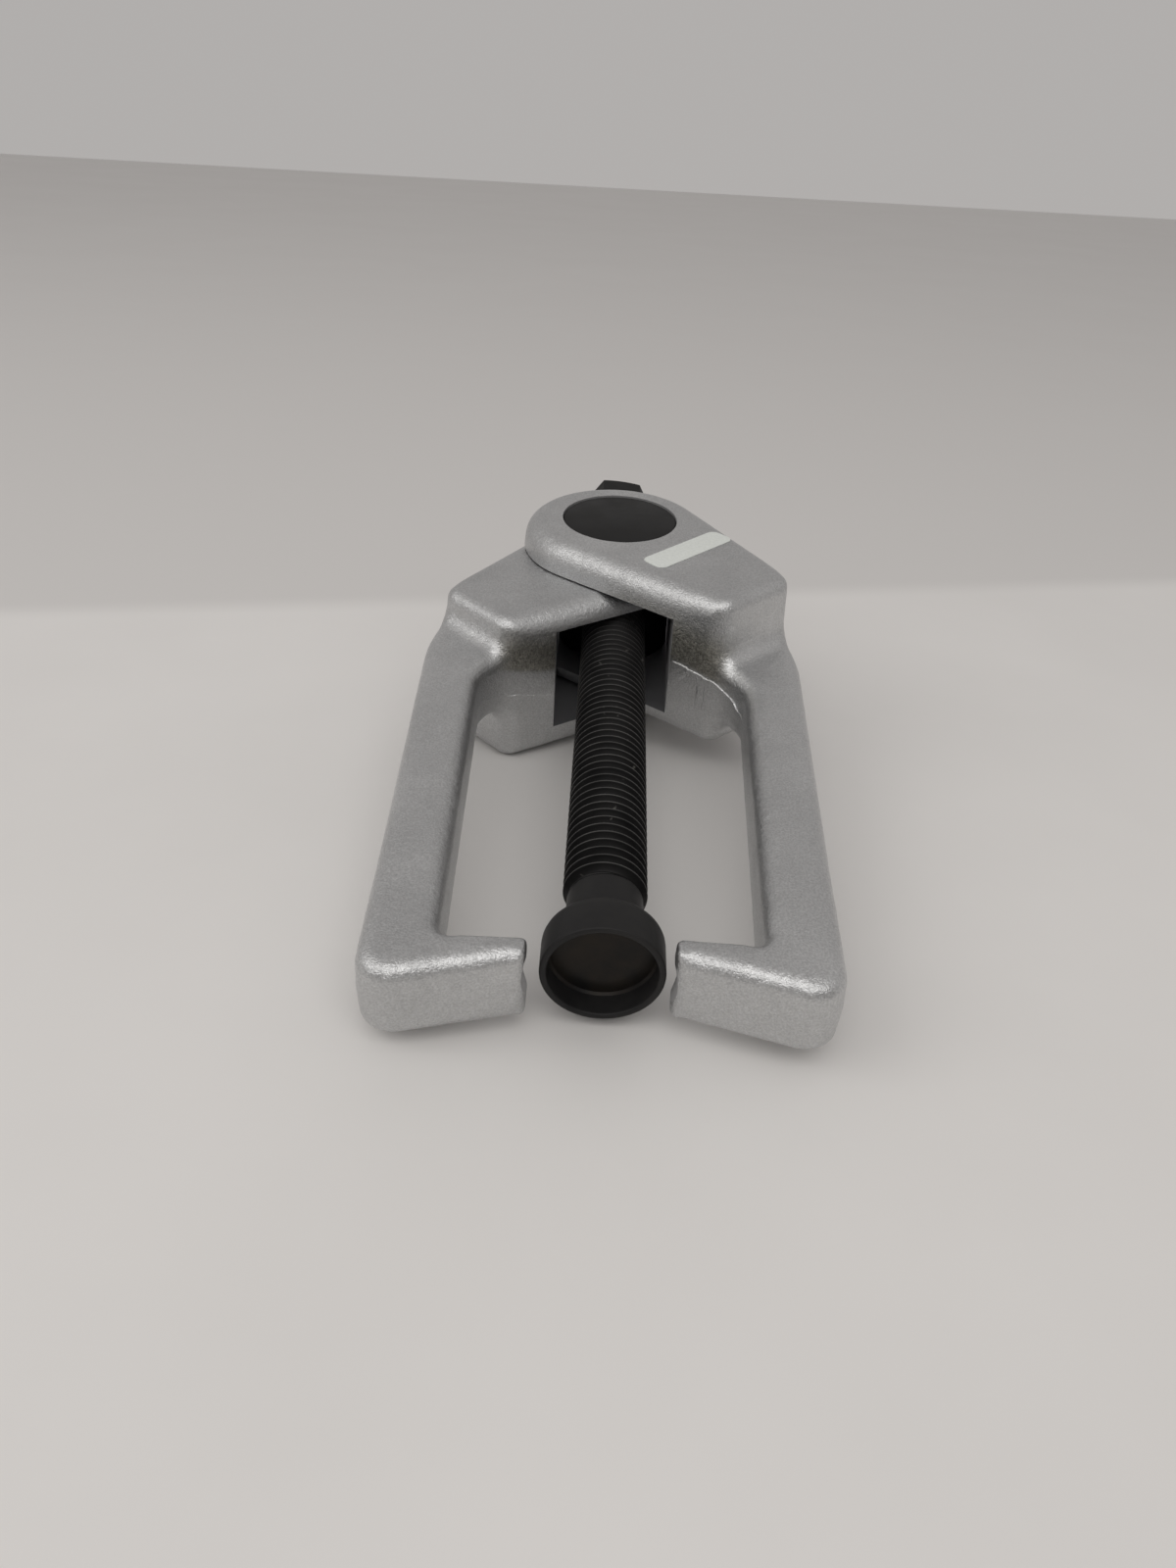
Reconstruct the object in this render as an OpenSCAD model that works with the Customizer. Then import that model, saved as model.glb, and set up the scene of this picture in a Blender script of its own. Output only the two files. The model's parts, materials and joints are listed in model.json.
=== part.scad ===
// Hinged two-jaw ball joint separator.
// Two identical cast jaws interleave on a trunnion pin. A forcing screw is threaded
// crosswise through the pin and carries a swivel cup that pushes between the jaw hooks.
// X is across the jaws, Y is the screw axis (the cup points to -Y), Z is the pin axis.
// The origin is on the screw axis, at the middle of the tool's length.

/* [Forcing screw] */
// Outside diameter of the thread (5/8 inch)
screw_d = 15.875; // [14:0.125:16.5]
// Thread pitch (11 turns per inch)
thread_pitch = 2.309; // [1.5:0.001:2.5]
// Distance from the pin axis to the back of the hex head
screw_rear = 60; // [50:1:80]
// Hex head size across flats (3/4 inch)
head_af = 19; // [17:0.5:22]
// Hex head length
head_len = 15; // [10:1:20]
// How far the hex head is turned from flat side up, in degrees
head_turn = 5; // [0:1:30]
// Diameter of the plain stem inside the cup
stem_d = 9.6; // [8:0.2:10]

/* [Swivel cup] */
// Distance from the pin axis to the mouth of the cup
cup_reach = 140; // [125:1:150]
// Outside diameter of the cup
cup_d = 22; // [20:0.5:22]
// Length of the wide part of the cup
cup_len = 9.6; // [8:0.2:12]
// Diameter of the cup's mouth
cup_bore_d = 19.4; // [17:0.2:19.6]
// Depth of the cup's mouth
cup_bore_depth = 5; // [3:0.5:6]
// Diameter of the neck behind the cup
neck_d = 14.2; // [13.6:0.2:15]
// Length of the neck behind the cup
neck_len = 9.2; // [7:0.2:12]
// Wire diameter of the ring that holds the cup on the stem
ring_wire_d = 1.3; // [1:0.1:1.4]

/* [Hub] */
// Diameter of the trunnion pin
pin_d = 29; // [26:0.5:30]
// Height of the hub over both outer lugs
hub_h = 46.4; // [46:0.2:50]
// Thickness of the outer lug of each jaw
outer_lug_t = 7.4; // [6:0.1:7.6]
// Thickness of the inner lug of each jaw
inner_lug_t = 5.2; // [5:0.1:6]
// Radius of the round end of a lug
lug_r = 22.9; // [21:0.1:23.2]
// How far the lug's middle line passes in front of the pin axis
lug_offset = 0.8; // [0:0.1:1]
// How much each side of a lug closes in towards the bar, in degrees
lug_taper = 11.6; // [8:0.2:13]
// Distance from the pin axis to the step down to the bar
lug_reach = 50; // [48:0.5:52]

/* [Jaws] */
// Distance from the pin axis to the gripping face of the hook
hook_reach = 136.9; // [125:0.1:140]
// Distance from the jaw's centre plane to the inner face of the bar
bar_inner = 31.9; // [30:0.1:34]
// Width of the bar
bar_w = 13.8; // [12:0.1:16]
// Height of the bar and the hook
bar_h = 16; // [15:0.5:18]
// Radius of the bar's long edges
bar_edge_r = 2.5; // [1:0.5:4]
// Distance from the jaw's centre plane to the end of the hook
hook_end = 16.5; // [16:0.1:20]
// Thickness of the hook at its end
hook_tip_t = 5.2; // [4:0.1:6]
// Slope of the hook's front face, in degrees
hook_slope = 14; // [8:1:18]
// Radius of the outer corner where the bar turns into the hook
hook_corner_r = 6.5; // [4:0.5:7]
// Radius of the hollow across the end of the hook
scoop_r = 11.5; // [11:0.1:14]
// Depth of the hollow across the end of the hook
scoop_depth = 1.1; // [0.5:0.1:1.5]
// How far the right jaw is swung inwards at rest, in degrees
right_swing = 1.9; // [0:0.1:2]
// How far the left jaw is swung inwards at rest, in degrees
left_swing = 1.5; // [0:0.1:2]
// How far the left jaw's bar and hook are set downwards, in degrees
left_set = 1.0; // [0:0.1:1.5]

/* [Label] */
// Length of the blank label on the upper lug
label_l = 26.5; // [20:0.5:28]
// Width of the blank label
label_w = 6.8; // [5:0.2:8]
// How far the label is askew, in degrees
label_skew = 3; // [-5:1:5]
// Distance from the pin axis to the middle of the label
label_reach = 23.7; // [22:0.1:30]

/* [Hidden] */
$fn = 96;
eps = 0.01;

// Clearances
lug_gap = 0.3;          // between neighbouring lugs
pin_clearance = 0.06;   // radial, jaw bore over pin
screw_clearance = 0.08; // radial, pin thread over screw
stem_clearance = 0.1;   // radial, cup socket over stem
free_gap = 0.3;         // between moving faces that never touch

// Heights of the lug faces above and below the screw axis
outer_top = hub_h / 2;
outer_low = outer_top - outer_lug_t;
inner_top = outer_low - lug_gap;
inner_low = inner_top - inner_lug_t;

// Plan of a jaw, before it is swung to its rest position
lug_lean = 45;                            // the lug runs outwards and forwards
slot_wall = pin_d / 2 + free_gap;         // side wall of the milled slot
lug_clear_r = lug_r + lug_offset + 0.5;   // room for the other jaw's inner lug
bar_outer = bar_inner + bar_w;
bar_start = -48;                          // the rounded bar starts behind this line
bar_overlap = 1.5;                        // how far the bar reaches into its root
hook_front = -hook_reach - hook_tip_t;    // front of the hook at its end
corner_x = bar_outer - hook_corner_r;
corner_y = hook_front - tan(hook_slope) * (corner_x - hook_end) + hook_corner_r / cos(hook_slope);
inner_fillet_r = 4;
root_cove_r = 6;

// Lug sides where they meet the step, in the lug's own axes
step_corner_r = 2.5;
lug_half_w = lug_r / cos(lug_taper) - lug_reach * tan(lug_taper);
tangent_u = lug_r * sin(lug_taper);
tangent_v = lug_r * cos(lug_taper);
arc_u = lug_reach - step_corner_r;
arc_v = lug_half_w + step_corner_r * (tan(lug_taper) - 1 / cos(lug_taper));
side_u = arc_u + step_corner_r * sin(lug_taper);
side_v = arc_v + step_corner_r * cos(lug_taper);

// A point given along and across the lug, in the jaw's plan axes
function from_lug(u, v) = [
    (u + v - lug_offset) * cos(lug_lean),
    (v - lug_offset - u) * sin(lug_lean)
];
step_rear = from_lug(lug_reach, lug_half_w);
step_front = from_lug(lug_reach, -lug_half_w);

// Rounded outer corner where the rear side of the lug runs into the bar
side_lean = lug_lean + lug_taper;
root_corner_r = 8;
root_corner_y = step_rear[1] - (bar_outer - step_rear[0]) * tan(side_lean);
root_arc_y = root_corner_y - root_corner_r * tan((90 - side_lean) / 2);

// Places along the screw axis, from the pin axis
cup_back = -cup_reach + cup_len;
neck_back = cup_back + neck_len;
screw_end = neck_back + free_gap;
head_front = screw_rear - head_len;
stem_tip = -cup_reach + cup_bore_depth + 3;
ring_y = neck_back - 4.5;
ring_r = stem_d / 2 + 0.05;
groove_half_w = ring_wire_d / 2 + 0.25;
stem_groove_d = 2 * (ring_r - ring_wire_d / 2 - 0.25);
neck_groove_d = 2 * (ring_r + ring_wire_d / 2 + 0.02);
thread_depth = 0.6134 * thread_pitch;
end_d = screw_d - 2 * thread_depth + 0.8;
end_chamfer = 1.4 * (screw_d - end_d) / 2;
dish_r = 7;
dish_depth = 0.9;

// The frame's origin is half way between the hex head and the front of the hooks
most_swing = max(right_swing, left_swing);
hook_lowest = corner_y * cos(most_swing) - corner_x * sin(most_swing) - hook_corner_r;
hinge_y = -(screw_rear + hook_lowest) / 2;

// Puts the pin axis at its place in the tool's frame
module at_hinge() {
    translate([0, hinge_y, 0]) children();
}

// Turns a shape drawn along +Z so that it runs along +Y from y0
module along_y(y0) {
    translate([0, y0, 0]) rotate([-90, 0, 0]) children();
}

// Rectangle with rounded corners, centred
module rounded_rect(w, h, r) {
    square([w - 2 * r, h], center = true);
    square([w, h - 2 * r], center = true);
    for (sx = [-1, 1], sy = [-1, 1])
        translate([sx * (w / 2 - r), sy * (h / 2 - r)]) circle(r = r);
}

// Plan of a lug: round end about the pin, sides closing in to the step
module lug_plan() {
    rotate(-lug_lean)
        translate([0, -lug_offset]) {
            circle(r = lug_r);
            for (side = [-1, 1]) translate([arc_u, side * arc_v]) circle(r = step_corner_r);
            polygon([
                [tangent_u, tangent_v],
                [side_u, side_v],
                [lug_reach, arc_v],
                [lug_reach, -arc_v],
                [side_u, -side_v],
                [tangent_u, -tangent_v]
            ]);
        }
}

// Plan of the root where the bar leaves the lug
module bar_root_plan() {
    polygon([
        from_lug(lug_r, 0),
        from_lug(side_u, side_v),
        [bar_outer - root_corner_r * (1 - sin(side_lean)), root_arc_y + root_corner_r * cos(side_lean)],
        [bar_outer - root_corner_r, root_arc_y],
        [bar_outer, root_arc_y],
        [bar_outer, bar_start],
        [bar_inner, bar_start],
        [bar_inner, bar_start - root_cove_r],
        [bar_inner - root_cove_r * 0.6, bar_start],
        step_front,
        from_lug(side_u, -side_v)
    ]);
    translate([bar_outer - root_corner_r, root_arc_y]) circle(r = root_corner_r);
}

// Plan of the hook: flat gripping face, sloping front and a round outer corner
module hook_plan() {
    polygon([
        [hook_end, -hook_reach],
        [hook_end, hook_front],
        [corner_x - hook_corner_r * sin(hook_slope), corner_y - hook_corner_r * cos(hook_slope)],
        [corner_x, corner_y],
        [bar_outer, corner_y],
        [bar_outer, -hook_reach]
    ]);
    translate([corner_x, corner_y]) circle(r = hook_corner_r);
}

// Bar of rounded section, from inside the root to inside the hook
module bar() {
    bar_len = bar_start + bar_overlap - corner_y;
    translate([(bar_inner + bar_outer) / 2, corner_y, 0])
        rotate([-90, 0, 0])
            linear_extrude(bar_len) rounded_rect(bar_w, bar_h, bar_edge_r);
}

// Small cove between the bar and the gripping face
module hook_cove() {
    translate([bar_inner - inner_fillet_r, -hook_reach - eps, -bar_h / 2])
        linear_extrude(bar_h)
            difference() {
                square([inner_fillet_r + bar_edge_r, inner_fillet_r]);
                translate([0, inner_fillet_r]) circle(r = inner_fillet_r);
            }
}

// The casting before machining, upper lug on top; set tilts its bar and hook up or down
module jaw_casting(set) {
    translate([0, 0, -inner_top]) linear_extrude(outer_top + inner_top) lug_plan();
    translate([0, 0, -bar_h / 2]) linear_extrude(bar_h) bar_root_plan();
    translate([0, bar_start, 0]) rotate([set, 0, 0]) translate([0, -bar_start, 0]) {
        translate([0, 0, -bar_h / 2]) linear_extrude(bar_h) hook_plan();
        bar();
        hook_cove();
    }
}

// One jaw in its own axes: the casting, bored for the pin and slotted for the screw,
// with a relief for the other jaw's inner lug and a hollow across the end of the hook
module jaw(set = 0) {
    slot_h = outer_low + inner_low;
    relief_low = inner_low - free_gap;
    scoop_x = hook_end + scoop_depth - scoop_r;
    difference() {
        jaw_casting(set);
        translate([0, 0, -hub_h / 2]) cylinder(d = pin_d + 2 * pin_clearance, h = hub_h + 1);
        translate([-hub_h, -hub_h, -inner_low]) cube([hub_h + slot_wall, 2 * hub_h, slot_h]);
        translate([0, 0, relief_low]) cylinder(r = lug_clear_r, h = outer_low - relief_low);
        translate([scoop_x, 0, 0]) along_y(-hook_reach - 20) cylinder(r = scoop_r, h = 30);
    }
}

// Upper jaw, on the right, with its outer lug on top of the hub
module right_jaw() {
    color("silver") at_hinge() rotate([0, 0, -right_swing]) jaw();
}

// Lower jaw, on the left: the same jaw turned half round about the screw axis
module left_jaw() {
    color("silver") at_hinge() rotate([0, 180, 0]) rotate([0, 0, -left_swing]) jaw(set = -left_set);
}

// Pin that joins the jaws and carries the screw thread across it
module trunnion_pin() {
    pin_h = hub_h - 0.4;
    chamfer = 0.6;
    color("#26262a") at_hinge()
        difference() {
            translate([0, 0, -pin_h / 2]) {
                translate([0, 0, chamfer]) cylinder(d = pin_d, h = pin_h - 2 * chamfer);
                cylinder(d1 = pin_d - 2 * chamfer, d2 = pin_d, h = chamfer);
                translate([0, 0, pin_h - chamfer])
                    cylinder(d1 = pin_d, d2 = pin_d - 2 * chamfer, h = chamfer);
            }
            along_y(-pin_d) cylinder(d = screw_d + 2 * screw_clearance, h = 2 * pin_d);
        }
}

// Hex head whose back corners are turned off at 30 degrees
module hex_head() {
    corner_d = head_af / cos(30);
    cone_top = head_af * 0.92;
    cone_h = (corner_d - cone_top) / 2 * tan(30);
    intersection() {
        rotate([0, 0, head_turn]) cylinder(d = corner_d, h = head_len, $fn = 6);
        union() {
            cylinder(d = corner_d + 1, h = head_len - cone_h - 1);
            translate([0, 0, head_len - cone_h - 1]) {
                cylinder(d = corner_d, h = 1 + eps);
                translate([0, 0, 1]) cylinder(d1 = corner_d, d2 = cone_top, h = cone_h);
            }
        }
    }
}

// Half outline of the screw from the stem's tip to the hex head, as [radius, place]
function screw_profile() = [
    [0, stem_tip],
    [stem_d / 2 - 0.5, stem_tip],
    [stem_d / 2, stem_tip + 0.5],
    [stem_d / 2, ring_y - groove_half_w],
    [stem_groove_d / 2, ring_y - groove_half_w],
    [stem_groove_d / 2, ring_y + groove_half_w],
    [stem_d / 2, ring_y + groove_half_w],
    [stem_d / 2, screw_end],
    [end_d / 2, screw_end],
    [screw_d / 2, screw_end + end_chamfer],
    [screw_d / 2, head_front + 1],
    [0, head_front + 1]
];

// Forcing screw: hex head, threaded shank, chamfered end and the stem inside the cup
module forcing_screw() {
    color("#1c1c1f") at_hinge() {
        along_y(head_front) hex_head();
        along_y(0) rotate_extrude() polygon(screw_profile());
    }
}

// Swivel cup: neck and body turned in one piece, open mouth with a dished floor
module swivel_cup() {
    floor_y = -cup_reach + cup_bore_depth;
    dish_ball_r = (dish_r * dish_r + dish_depth * dish_depth) / (2 * dish_depth);
    shoulder = 1.5;
    color("#2b2b2e") at_hinge()
        difference() {
            union() {
                along_y(-cup_reach) cylinder(d = cup_d, h = cup_len - shoulder);
                along_y(cup_back - shoulder - eps) cylinder(d1 = cup_d, d2 = cup_d - 2 * shoulder, h = shoulder + eps);
                along_y(cup_back - 1) cylinder(d = neck_d, h = neck_len + 1);
            }
            along_y(-cup_reach - 1) cylinder(d = cup_bore_d, h = cup_bore_depth + 1);
            intersection() {
                translate([0, floor_y - dish_ball_r + dish_depth, 0]) sphere(r = dish_ball_r);
                along_y(floor_y - 1) cylinder(r = dish_r + 0.5, h = 3);
            }
            along_y(stem_tip - free_gap) cylinder(d = stem_d + 2 * stem_clearance, h = neck_len + cup_len);
            along_y(ring_y - groove_half_w) cylinder(d = neck_groove_d, h = 2 * groove_half_w);
        }
}

// Split wire ring that holds the cup on the stem, inside the neck
module cup_retaining_ring() {
    color("#55565a") at_hinge() along_y(ring_y)
        rotate_extrude(angle = 330) translate([ring_r, 0]) circle(d = ring_wire_d, $fn = 32);
}

// Blank paper label across the upper lug, in front of the pin
module blank_label() {
    label_t = 0.15;
    color("white") at_hinge() rotate([0, 0, -right_swing - lug_lean])
        translate([label_reach, 1, outer_top])
            rotate([0, 0, 90 + label_skew]) linear_extrude(label_t) rounded_rect(label_l, label_w, 2);
}

right_jaw();
left_jaw();
trunnion_pin();
forcing_screw();
swivel_cup();
cup_retaining_ring();
blank_label();
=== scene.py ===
"""Looks of the hinged two-jaw ball joint separator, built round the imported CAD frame.

Shapes are worked out in millimetres in each part's own axes and then placed by the frame:
the pin axis and the screw's direction come from the record's joints and mounts.
"""
import json
import math

import bmesh
import bpy
import numpy as np
from mathutils import Matrix, Vector, noise


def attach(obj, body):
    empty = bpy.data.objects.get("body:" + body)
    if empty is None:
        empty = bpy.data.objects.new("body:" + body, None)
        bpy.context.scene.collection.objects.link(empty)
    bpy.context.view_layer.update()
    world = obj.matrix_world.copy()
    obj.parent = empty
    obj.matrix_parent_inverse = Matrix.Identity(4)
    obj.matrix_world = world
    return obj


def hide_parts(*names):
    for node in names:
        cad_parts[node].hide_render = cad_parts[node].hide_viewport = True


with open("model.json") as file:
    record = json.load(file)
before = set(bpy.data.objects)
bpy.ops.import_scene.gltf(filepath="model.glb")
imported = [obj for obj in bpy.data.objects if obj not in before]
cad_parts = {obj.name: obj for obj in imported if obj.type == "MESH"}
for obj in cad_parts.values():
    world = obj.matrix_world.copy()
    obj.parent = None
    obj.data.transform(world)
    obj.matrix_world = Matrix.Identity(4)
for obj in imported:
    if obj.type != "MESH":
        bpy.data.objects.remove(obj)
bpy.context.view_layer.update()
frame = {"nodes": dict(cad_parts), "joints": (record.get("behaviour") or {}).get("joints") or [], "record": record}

MM = 0.001

# ---------------------------------------------------------------- sizes, mm
# Places along the screw are counted from the pin axis, cup end negative.
SCREW_R = 7.9375
PITCH = 2.309
THREAD_DEPTH = 1.35
THREAD_CREST = 0.11       # shares of half a pitch that are flat at the crest and at the root
THREAD_ROOT = 0.24
RUN_OUT = 5.0             # where the thread starts to fade under the head, and over what length
RUN_OUT_L = 3.0
SCREW_END = -120.9
HEAD_FRONT = 45.0
HEAD_REAR = 60.0
HEAD_AF = 19.0
HEAD_CHAMFER = math.radians(30)
HEAD_TURN = math.radians(5.0)
STEM_R = 4.8
STEM_TIP = -132.0
GROOVE_BACK = -124.8
GROOVE_FRONT = -126.6
STEM_GROOVE_R = 3.95
SOCKET_GROOVE_R = 5.52
SOCKET_R = STEM_R + 0.1
ROOT_END_R = 6.75

CUP_MOUTH = -140.0
CUP_R = 11.0
CUP_BACK = -130.4
CUP_BORE_R = 9.7
CUP_FLOOR = -135.0
CUP_SHOULDER_R = 3.0
DISH_R = 7.0
DISH_DEPTH = 0.85
NECK_R = 7.1
NECK_BACK = -121.2

PIN_R = 14.5
PIN_H = 46.0
PIN_BORE_R = SCREW_R + 0.08
HUB_TOP = 23.2
SLOT_TOP = 15.8
BLOCK_LOW = -15.5
SLOT_LOW = -10.3
LUG_R = 22.9
LUG_OFFSET = 0.8
LUG_TAPER = math.radians(11.6)
LUG_REACH = 50.9
LUG_LEAN = math.radians(45.0)
SLOT_WALL = 14.8
SLOT_FRONT = -41.0        # where the slot's wall comes out at the front of the hub
RELIEF_R = 24.2
RELIEF_LOW = -SLOT_LOW - 0.3
BORE_R = 14.62

BAR_IN = 31.9
BAR_OUT = 45.7
BAR_HALF_H = 8.0
HOOK_BACK = -136.9
HOOK_END = 16.5
HOOK_TIP = -142.1
HOOK_SLOPE = math.radians(14.0)
SCOOP_R = 11.5
SCOOP_DEPTH = 1.1

HUB_DRAFT = math.tan(math.radians(5.5))
BAR_DRAFT = math.tan(math.radians(2.5))
HUB_BULGE = 1.7           # how far the hub's sides stand out at the parting line
HUB_UNTIL = 36.0          # along the lug: the hub's draft and bulge hold to here,
BAR_FROM = 54.0           # and have given way to the bar's here
PARTING_Z = 5.8
PARTING_END = 66.0        # the parting line has come down to the bar's middle here

RIM_R = 8.0               # the outline's rounded corners and coves, seen from above
LUG_COVE_R = 6.0
HOOK_COVE_R = 3.4
GRIP_R = 1.4
TIP_R = 2.2
STEP_R = 3.2              # the step down from hub to bar, seen from the side
STEP_COVE_R = 4.2
EDGE_R = 3.0              # edges at the hook; the bar's and the hub's are fuller, the grip's tighter
EDGE_MORE = 0.9
EDGE_LESS = 1.6
JAW_LOW = (-26, -152, -19)
JAW_HIGH = (49, 26, 27)
ON_CUT = 0.05             # how near a cutter's surface the faces that it made lie
ON_LEVEL = 0.02

LABEL_L = 26.5
LABEL_W = 6.8
LABEL_CORNER = 2.0
LABEL_T = 0.13
LABEL_REACH = 23.7        # its middle, along and across the lug, and its turn from the lug's line
LABEL_SHIFT = 1.0
LABEL_SKEW = math.radians(93)

# How far each jaw is swung inwards at rest, in degrees
SWING = {"right_jaw": 1.9, "left_jaw": 1.5}
# The left jaw's bar and hook are set a little down, from this place on
LEFT_SET = math.tan(math.radians(1.0))
SET_FROM = -48.0
SET_EASE = 6.0

PIN_AXIS_Y = next(j["pos_m"][1] for j in frame["joints"] if j["name"] == "right_jaw_hinge") / MM
AT_PIN = Matrix.Translation((0, PIN_AXIS_Y * MM, 0))


# ---------------------------------------------------------------- mesh helpers
def new_object(name, mesh):
    """Links a mesh as an object."""
    obj = bpy.data.objects.new(name, mesh)
    bpy.context.scene.collection.objects.link(obj)
    return obj


def mesh_from(name, verts_mm, faces, matrix):
    """Makes a mesh from millimetre points, placed by a matrix in metres."""
    mesh = bpy.data.meshes.new(name)
    mesh.from_pydata([tuple(c * MM for c in v) for v in verts_mm], [], faces)
    mesh.transform(matrix)
    mesh.update()
    return mesh


def finish_mesh(mesh, sharp_deg=32.0, merge=2e-6):
    """Welds, points the faces outwards and marks the edges that stay crisp."""
    bm = bmesh.new()
    bm.from_mesh(mesh)
    bmesh.ops.remove_doubles(bm, verts=bm.verts, dist=merge)
    bmesh.ops.dissolve_degenerate(bm, edges=bm.edges, dist=1e-7)
    bmesh.ops.recalc_face_normals(bm, faces=bm.faces)
    limit = math.radians(sharp_deg)
    for face in bm.faces:
        face.smooth = True
    for edge in bm.edges:
        edge.smooth = not (len(edge.link_faces) == 2 and edge.calc_face_angle(0.0) > limit)
    bm.to_mesh(mesh)
    bm.free()


def revolve(profile, steps=128):
    """Turns a list of (radius, place) about +Y. A radius of 0 closes to a point."""
    verts, faces, rings = [], [], []
    for radius, place in profile:
        if radius < 1e-6:
            rings.append([len(verts)] * steps)
            verts.append((0.0, place, 0.0))
            continue
        rings.append(list(range(len(verts), len(verts) + steps)))
        for i in range(steps):
            a = 2 * math.pi * i / steps
            verts.append((radius * math.cos(a), place, radius * math.sin(a)))
    for low, high in zip(rings, rings[1:]):
        for i in range(steps):
            j = (i + 1) % steps
            quad = [low[i], low[j], high[j], high[i]]
            quad = [v for n, v in enumerate(quad) if v not in quad[:n]]
            if len(quad) > 2:
                faces.append(quad)
    return verts, faces


def rounded(points, radius, steps=4):
    """Rounds the inner corners of an open (radius, place) outline."""
    out = [points[0]]
    for before, here, after in zip(points, points[1:], points[2:]):
        p, h, q = (Vector(v) for v in (before, here, after))
        a, b = (p - h), (q - h)
        r = min(radius, a.length * 0.45, b.length * 0.45)
        if r < 0.02 or a.normalized().dot(b.normalized()) < -0.995:
            out.append(here)
            continue
        start, end = h + a.normalized() * r, h + b.normalized() * r
        for i in range(steps + 1):
            t = i / steps
            out.append(tuple((1 - t) ** 2 * start + 2 * t * (1 - t) * h + t * t * end))
    out.append(points[-1])
    return out


# ---------------------------------------------------------------- the casting as a distance field
def fillet_union(a, b, r):
    """Joins two distance fields with a concave fillet of radius r."""
    return np.maximum(r, np.minimum(a, b)) - np.hypot(np.maximum(r - a, 0), np.maximum(r - b, 0))


def round_cut(a, b, r):
    """Keeps what is inside both fields, with the edge between them rounded to radius r."""
    return np.minimum(-r, np.maximum(a, b)) + np.hypot(np.maximum(r + a, 0), np.maximum(r + b, 0))


def smoothstep(x, low, high):
    """0 below low, 1 above high, with a smooth ease between them."""
    t = np.clip((x - low) / (high - low), 0, 1)
    return t * t * (3 - 2 * t)


def hub_share(u):
    """1 at the hub, falling to 0 along the bar, from the distance u along the lug."""
    return 1 - smoothstep(u, HUB_UNTIL, BAR_FROM)


def parting_height(u):
    """Height of the die's parting line at a distance u along the lug."""
    return PARTING_Z * (1 - smoothstep(u, HUB_UNTIL, PARTING_END))


def casting_field(x, y, z):
    """Signed distance to the jaw casting in the jaw's own axes, before machining: the plan
    outline of lug, bar and hook, cut to a side profile that steps down from hub to bar."""
    c, s = math.cos(LUG_LEAN), math.sin(LUG_LEAN)
    u = x * c - y * s
    v = x * s + y * c + LUG_OFFSET
    av = np.abs(v)
    ct, st = math.cos(LUG_TAPER), math.sin(LUG_TAPER)
    lug = np.where(u * ct - av * st < 0, np.hypot(u, v), av * ct + u * st) - LUG_R
    rear = v * ct + u * st - LUG_R
    front = (HOOK_TIP - y) * math.cos(HOOK_SLOPE) - (x - HOOK_END) * math.sin(HOOK_SLOPE)
    rim = round_cut(round_cut(rear, x - BAR_OUT, RIM_R), front, RIM_R)
    hook = round_cut(round_cut(y - HOOK_BACK, HOOK_END - x, GRIP_R), front, TIP_R)
    plan = fillet_union(lug, BAR_IN - x, LUG_COVE_R)
    plan = np.maximum(fillet_union(plan, hook, HOOK_COVE_R), rim)

    share = hub_share(u)
    slope = BAR_DRAFT + (HUB_DRAFT - BAR_DRAFT) * share
    draft = np.abs(z - parting_height(u)) * slope - HUB_BULGE * share
    hub_mid = (HUB_TOP + BLOCK_LOW) / 2
    hub_half = (HUB_TOP - BLOCK_LOW) / 2
    step = u - LUG_REACH + np.abs(z) * BAR_DRAFT
    tall = round_cut(step, np.abs(z - hub_mid) - hub_half, STEP_R)
    profile = fillet_union(tall, np.abs(z) - BAR_HALF_H, STEP_COVE_R)
    return round_cut(plan + draft, profile, edge_radius(x, y, share))


def edge_radius(x, y, share):
    """Radius of the casting's edges: fullest at the hub, tightest round the hook's grip and tip."""
    along = EDGE_R + EDGE_MORE * smoothstep(y, HOOK_BACK, HOOK_BACK + 25.0) + EDGE_MORE * share
    depth = np.maximum(y - HOOK_BACK, HOOK_END - x)
    near = smoothstep(depth, -2.4, -0.5) * (1 - smoothstep(x, BAR_IN - 4.0, BAR_IN))
    return along - EDGE_LESS * near * (1 - smoothstep(y, HOOK_BACK + 1.0, HOOK_BACK + 4.0))


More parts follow.
